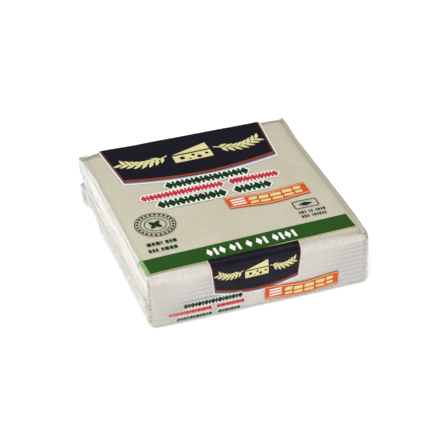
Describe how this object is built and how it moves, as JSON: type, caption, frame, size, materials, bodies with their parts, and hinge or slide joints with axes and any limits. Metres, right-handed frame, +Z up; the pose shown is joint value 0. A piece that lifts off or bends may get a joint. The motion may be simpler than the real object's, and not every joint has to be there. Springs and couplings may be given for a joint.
{
  "type": "pack of sliced cheese",
  "caption": "Square pack of wrapped cheese slices, closed in tight clear film with folded crimped ends and a plain printed top and front.",
  "frame": {"origin": "middle of the underside, on the surface that the pack lies on", "axes": "+Z up out of the printed top, +X to the right along the front edge, +Y from the front to the back"},
  "size_m": [0.095, 0.099, 0.0254],
  "materials": {
    "clear_film": "glossy clear film over the slices",
    "cheese": "smooth pale ivory cheese",
    "slice_wrapper": "crimped clear slice film",
    "print_green": "glossy ink",
    "print_navy": "glossy ink",
    "print_red": "glossy ink",
    "print_orange": "glossy ink",
    "print_gold": "glossy ink",
    "print_blue": "glossy ink",
    "print_white": "glossy ink"
  },
  "bodies": {
    "root": {"cheese_pack": "clear_film"}
  },
  "joints": []
}
